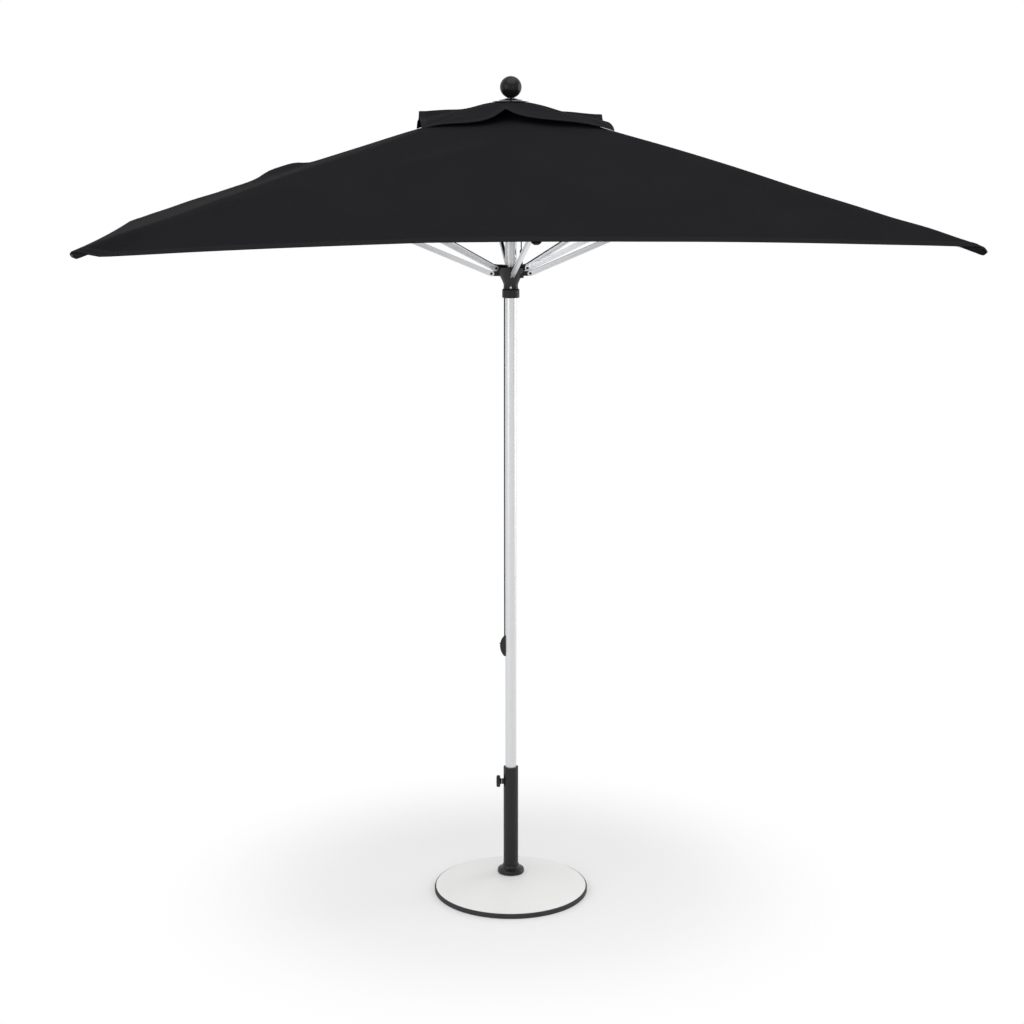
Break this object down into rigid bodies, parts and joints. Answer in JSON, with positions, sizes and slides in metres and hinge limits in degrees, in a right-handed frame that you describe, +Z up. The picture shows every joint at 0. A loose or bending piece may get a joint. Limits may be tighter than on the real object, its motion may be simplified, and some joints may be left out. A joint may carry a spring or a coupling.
{
  "type": "patio umbrella with base",
  "caption": "Oblong two-tier market umbrella with folding ribs and struts, a cord-lifted runner on an aluminium pole, and a domed disc base with a clamped tube.",
  "frame": {"origin": "middle of the base's underside, on the floor", "axes": "+Z up along the pole, X along the canopy's long side, front faces -Y"},
  "size_m": [2.624, 1.6734, 2.777],
  "materials": {
    "plate_black": "black powder coat",
    "base_white": "off-white powder coat, faint speckle",
    "rim_rubber": "charcoal, matte",
    "collar_black": "satin black",
    "tube_black": "satin black",
    "zinc_steel": "zinc plated",
    "boss_black": "satin black",
    "washer_steel": "plain",
    "knob_plastic": "moulded",
    "bushing_plastic": "moulded",
    "pole_aluminium": "satin anodised",
    "plug_plastic": "moulded",
    "outlet_plastic": "moulded, slight sheen",
    "screw_steel": "plain",
    "hub_plastic": "glass filled nylon",
    "hub_bolt_steel": "plain",
    "sheave_nylon": "natural nylon",
    "patch_cloth": "woven acrylic",
    "flange_black": "black",
    "finial_black": "black",
    "runner_plastic": "glass filled nylon",
    "liner_nylon": "natural nylon",
    "runner_bolt_black": "black oxide",
    "runner_screw_steel": "plain",
    "anchor_black": "heat shrink sleeve",
    "ferrule_black": "moulded bead",
    "cord": "braided polyester",
    "rib_aluminium": "anodised",
    "strut_aluminium": "anodised, grooved sides",
    "canopy_cloth": "solution dyed acrylic, plain weave",
    "tier_cloth": "solution dyed acrylic, plain weave"
  },
  "bodies": {
    "base": {"base_plate": "plate_black", "base_weight": "base_white", "base_rim": "rim_rubber", "base_collar": "collar_black", "base_tube": "tube_black", "tube_bolt": "zinc_steel", "knob_boss": "boss_black"},
    "clamp_washer": {"knob_washer": "washer_steel"},
    "clamp_knob": {"thumb_knob": "knob_plastic"},
    "sleeve": {"tube_bushing": "bushing_plastic"},
    "pole": {"pole_tube": "pole_aluminium", "pole_plug": "plug_plastic", "cord_outlet": "outlet_plastic", "outlet_screws": "screw_steel", "hub_body": "hub_plastic", "hub_bolts": "hub_bolt_steel", "crown_patch": "patch_cloth", "finial_flange": "flange_black", "lift_cord_inner": "cord", "lift_cord_outer": "cord"},
    "sheave": {"sheave": "sheave_nylon"},
    "finial": {"finial": "finial_black"},
    "runner": {"runner_body": "runner_plastic", "runner_liner": "liner_nylon", "runner_bolts": "runner_bolt_black", "runner_screw": "runner_screw_steel", "cord_anchor": "anchor_black", "cord_ferrule": "ferrule_black"},
    "rib_e": {"rib_e": "rib_aluminium", "canopy_e": "canopy_cloth", "tier_e": "tier_cloth"},
    "strut_e": {"strut_e": "strut_aluminium"},
    "rib_ne": {"rib_ne": "rib_aluminium", "canopy_ne": "canopy_cloth", "tier_ne": "tier_cloth"},
    "strut_ne": {"strut_ne": "strut_aluminium"},
    "rib_n": {"rib_n": "rib_aluminium", "canopy_n": "canopy_cloth", "tier_n": "tier_cloth"},
    "strut_n": {"strut_n": "strut_aluminium"},
    "rib_nw": {"rib_nw": "rib_aluminium", "canopy_nw": "canopy_cloth", "tier_nw": "tier_cloth"},
    "strut_nw": {"strut_nw": "strut_aluminium"},
    "rib_w": {"rib_w": "rib_aluminium", "canopy_w": "canopy_cloth", "tier_w": "tier_cloth"},
    "strut_w": {"strut_w": "strut_aluminium"},
    "rib_sw": {"rib_sw": "rib_aluminium", "canopy_sw": "canopy_cloth", "tier_sw": "tier_cloth"},
    "strut_sw": {"strut_sw": "strut_aluminium"},
    "rib_s": {"rib_s": "rib_aluminium", "canopy_s": "canopy_cloth", "tier_s": "tier_cloth"},
    "strut_s": {"strut_s": "strut_aluminium"},
    "rib_se": {"rib_se": "rib_aluminium", "canopy_se": "canopy_cloth", "tier_se": "tier_cloth"},
    "strut_se": {"strut_se": "strut_aluminium"}
  },
  "joints": [
    {"name": "clamp_travel", "type": "slide", "parent": "base", "child": "clamp_washer", "axis": [-0.9962, 0.0872, 0], "range_m": [0, 0.003]},
    {"name": "clamp_turn", "type": "hinge", "parent": "clamp_washer", "child": "clamp_knob", "pos_m": [-0.03985, 0.00349, 0.395], "axis": [-0.9962, 0.0872, 0], "range_deg": [0, 720]},
    {"name": "pole_lift", "type": "slide", "parent": "base", "child": "sleeve", "axis": [0, 0, 1], "range_m": [0, 0.369]},
    {"name": "pole_turn", "type": "hinge", "parent": "sleeve", "child": "pole", "pos_m": [0, 0, 0.4], "axis": [0, 0, 1], "continuous": true},
    {"name": "finial_turn", "type": "hinge", "parent": "pole", "child": "finial", "pos_m": [0, 0, 2.742], "axis": [0, 0, 1], "continuous": true},
    {"name": "runner_slide", "type": "slide", "parent": "pole", "child": "runner", "axis": [0, 0, -1], "range_m": [0, 0.92], "deforming": ["lift_cord_outer"]},
    {"name": "sheave_turn", "type": "hinge", "parent": "pole", "child": "sheave", "pos_m": [0.01057, -0.00303, 2.6], "axis": [0.2756, 0.9613, 0], "range_deg": [0, 3495]},
    {"name": "rib_e_fold", "type": "hinge", "parent": "pole", "child": "rib_e", "pos_m": [0.055, 0, 2.665], "axis": [0, 1, 0], "range_deg": [0, 69.04], "deforming": ["canopy_e", "tier_e"]},
    {"name": "strut_e_fold", "type": "hinge", "parent": "rib_e", "child": "strut_e", "pos_m": [0.73109, 0, 2.42458], "axis": [0, -1, 0], "range_deg": [0, 135.55]},
    {"name": "rib_ne_fold", "type": "hinge", "parent": "pole", "child": "rib_ne", "pos_m": [0.0464, 0.02953, 2.665], "axis": [-0.5369, 0.8436, 0], "range_deg": [0, 72.02], "deforming": ["canopy_ne", "tier_ne"]},
    {"name": "strut_ne_fold", "type": "hinge", "parent": "rib_ne", "child": "strut_ne", "pos_m": [0.60967, 0.38802, 2.46542], "axis": [0.5369, -0.8436, 0], "range_deg": [0, 136.84]},
    {"name": "rib_n_fold", "type": "hinge", "parent": "pole", "child": "rib_n", "pos_m": [0, 0.055, 2.665], "axis": [-1, 0, 0], "range_deg": [0, 61.11], "deforming": ["canopy_n", "tier_n"]},
    {"name": "strut_n_fold", "type": "hinge", "parent": "rib_n", "child": "strut_n", "pos_m": [0, 0.72661, 2.31652], "axis": [1, 0, 0], "range_deg": [0, 135.62]},
    {"name": "rib_nw_fold", "type": "hinge", "parent": "pole", "child": "rib_nw", "pos_m": [-0.0464, 0.02953, 2.665], "axis": [-0.5369, -0.8436, 0], "range_deg": [0, 72.02], "deforming": ["canopy_nw", "tier_nw"]},
    {"name": "strut_nw_fold", "type": "hinge", "parent": "rib_nw", "child": "strut_nw", "pos_m": [-0.60967, 0.38802, 2.46542], "axis": [0.5369, 0.8436, 0], "range_deg": [0, 136.84]},
    {"name": "rib_w_fold", "type": "hinge", "parent": "pole", "child": "rib_w", "pos_m": [-0.055, 0, 2.665], "axis": [0, -1, 0], "range_deg": [0, 69.04], "deforming": ["canopy_w", "tier_w"]},
    {"name": "strut_w_fold", "type": "hinge", "parent": "rib_w", "child": "strut_w", "pos_m": [-0.73109, 0, 2.42458], "axis": [0, 1, 0], "range_deg": [0, 135.55]},
    {"name": "rib_sw_fold", "type": "hinge", "parent": "pole", "child": "rib_sw", "pos_m": [-0.0464, -0.02953, 2.665], "axis": [0.5369, -0.8436, 0], "range_deg": [0, 72.02], "deforming": ["canopy_sw", "tier_sw"]},
    {"name": "strut_sw_fold", "type": "hinge", "parent": "rib_sw", "child": "strut_sw", "pos_m": [-0.60967, -0.38802, 2.46542], "axis": [-0.5369, 0.8436, 0], "range_deg": [0, 136.84]},
    {"name": "rib_s_fold", "type": "hinge", "parent": "pole", "child": "rib_s", "pos_m": [0, -0.055, 2.665], "axis": [1, 0, 0], "range_deg": [0, 61.11], "deforming": ["canopy_s", "tier_s"]},
    {"name": "strut_s_fold", "type": "hinge", "parent": "rib_s", "child": "strut_s", "pos_m": [0, -0.72661, 2.31652], "axis": [-1, 0, 0], "range_deg": [0, 135.62]},
    {"name": "rib_se_fold", "type": "hinge", "parent": "pole", "child": "rib_se", "pos_m": [0.0464, -0.02953, 2.665], "axis": [0.5369, 0.8436, 0], "range_deg": [0, 72.02], "deforming": ["canopy_se", "tier_se"]},
    {"name": "strut_se_fold", "type": "hinge", "parent": "rib_se", "child": "strut_se", "pos_m": [0.60967, -0.38802, 2.46542], "axis": [-0.5369, -0.8436, 0], "range_deg": [0, 136.84]}
  ],
  "couplings": [
    {"joint": "clamp_travel", "follows": "clamp_turn", "m_per_rad": 0.00023873},
    {"joint": "sheave_turn", "follows": "runner_slide", "rad_per_m": 66.225},
    {"joint": "rib_e_fold", "follows": "runner_slide", "rad_per_m": 1.3094},
    {"joint": "strut_e_fold", "follows": "runner_slide", "rad_per_m": 2.5712},
    {"joint": "rib_ne_fold", "follows": "runner_slide", "rad_per_m": 1.366},
    {"joint": "strut_ne_fold", "follows": "runner_slide", "rad_per_m": 2.5956},
    {"joint": "rib_n_fold", "follows": "runner_slide", "rad_per_m": 1.159},
    {"joint": "strut_n_fold", "follows": "runner_slide", "rad_per_m": 2.5726},
    {"joint": "rib_nw_fold", "follows": "runner_slide", "rad_per_m": 1.366},
    {"joint": "strut_nw_fold", "follows": "runner_slide", "rad_per_m": 2.5956},
    {"joint": "rib_w_fold", "follows": "runner_slide", "rad_per_m": 1.3094},
    {"joint": "strut_w_fold", "follows": "runner_slide", "rad_per_m": 2.5712},
    {"joint": "rib_sw_fold", "follows": "runner_slide", "rad_per_m": 1.366},
    {"joint": "strut_sw_fold", "follows": "runner_slide", "rad_per_m": 2.5956},
    {"joint": "rib_s_fold", "follows": "runner_slide", "rad_per_m": 1.159},
    {"joint": "strut_s_fold", "follows": "runner_slide", "rad_per_m": 2.5726},
    {"joint": "rib_se_fold", "follows": "runner_slide", "rad_per_m": 1.366},
    {"joint": "strut_se_fold", "follows": "runner_slide", "rad_per_m": 2.5956}
  ]
}
